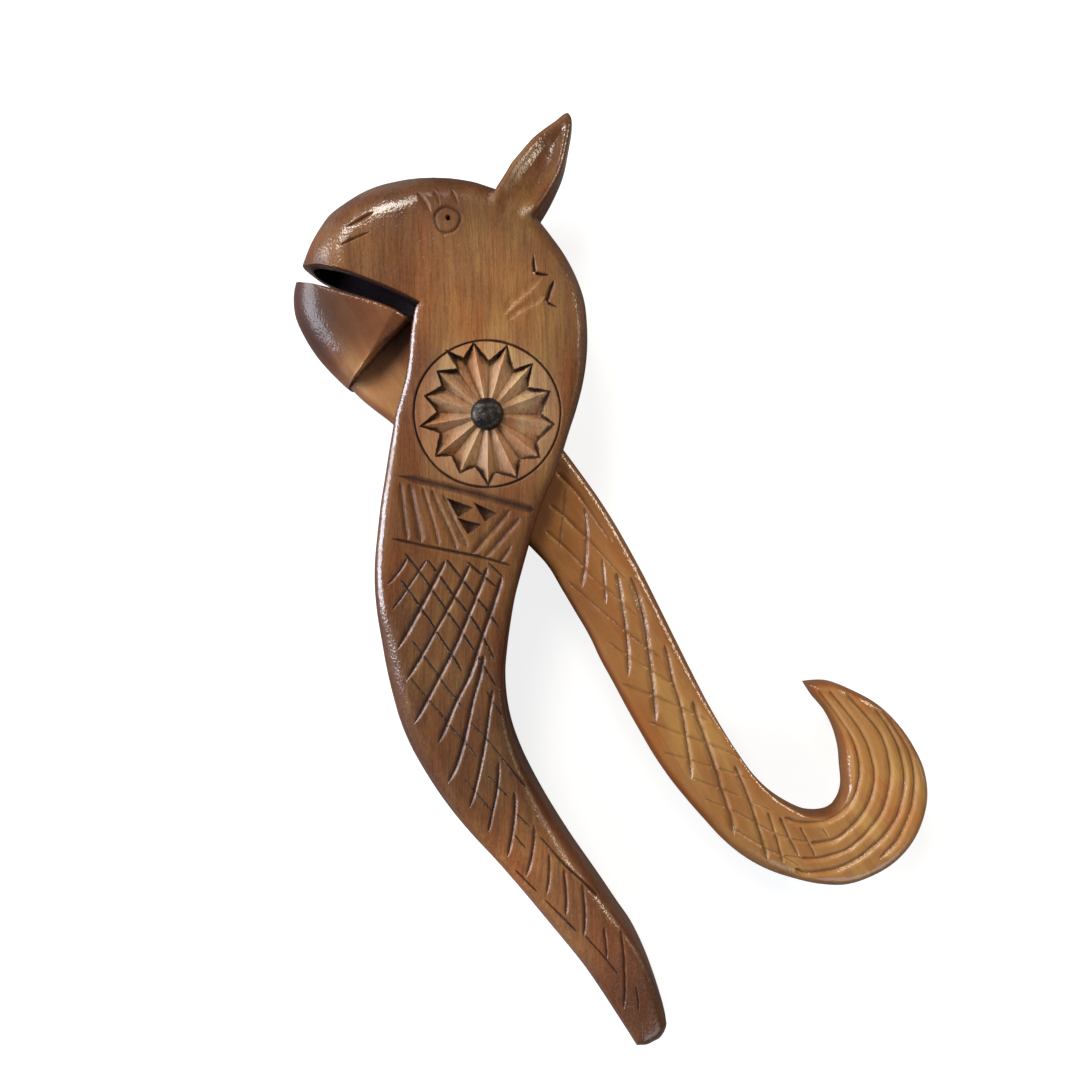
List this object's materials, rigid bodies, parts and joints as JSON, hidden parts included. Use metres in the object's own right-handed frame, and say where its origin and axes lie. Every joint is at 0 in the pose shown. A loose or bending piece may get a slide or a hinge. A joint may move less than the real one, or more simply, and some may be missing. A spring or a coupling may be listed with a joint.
{
  "type": "lever nutcracker",
  "caption": "Hand-carved wooden lever nutcracker: an animal's head with an opening jaw on an iron rivet, a carved curved handle and a hooked tail lever.",
  "frame": {"origin": "middle of the footprint, on the surface that the nutcracker lies on", "axes": "+Z out of the carved faces, +Y along the length from the handle's end to the ear, +X towards the hook of the tail"},
  "size_m": [0.1379, 0.2016, 0.026],
  "materials": {
    "head_wood": "glossy varnish over mid-brown carved hardwood",
    "tail_wood": "glossy varnish over golden-brown carved hardwood",
    "rivet_iron": "dark hammered iron",
    "burr_iron": "dark iron washer"
  },
  "bodies": {
    "head": {"head_lever": "head_wood", "pivot_rivet": "rivet_iron", "rivet_burr": "burr_iron"},
    "jaw": {"jaw_lever": "tail_wood"}
  },
  "joints": [
    {"name": "lever_pivot", "type": "hinge", "parent": "head", "child": "jaw", "pos_m": [-0.0264, 0.0348, 0.012], "axis": [0, 0, 1], "range_deg": [-3, 38]}
  ]
}
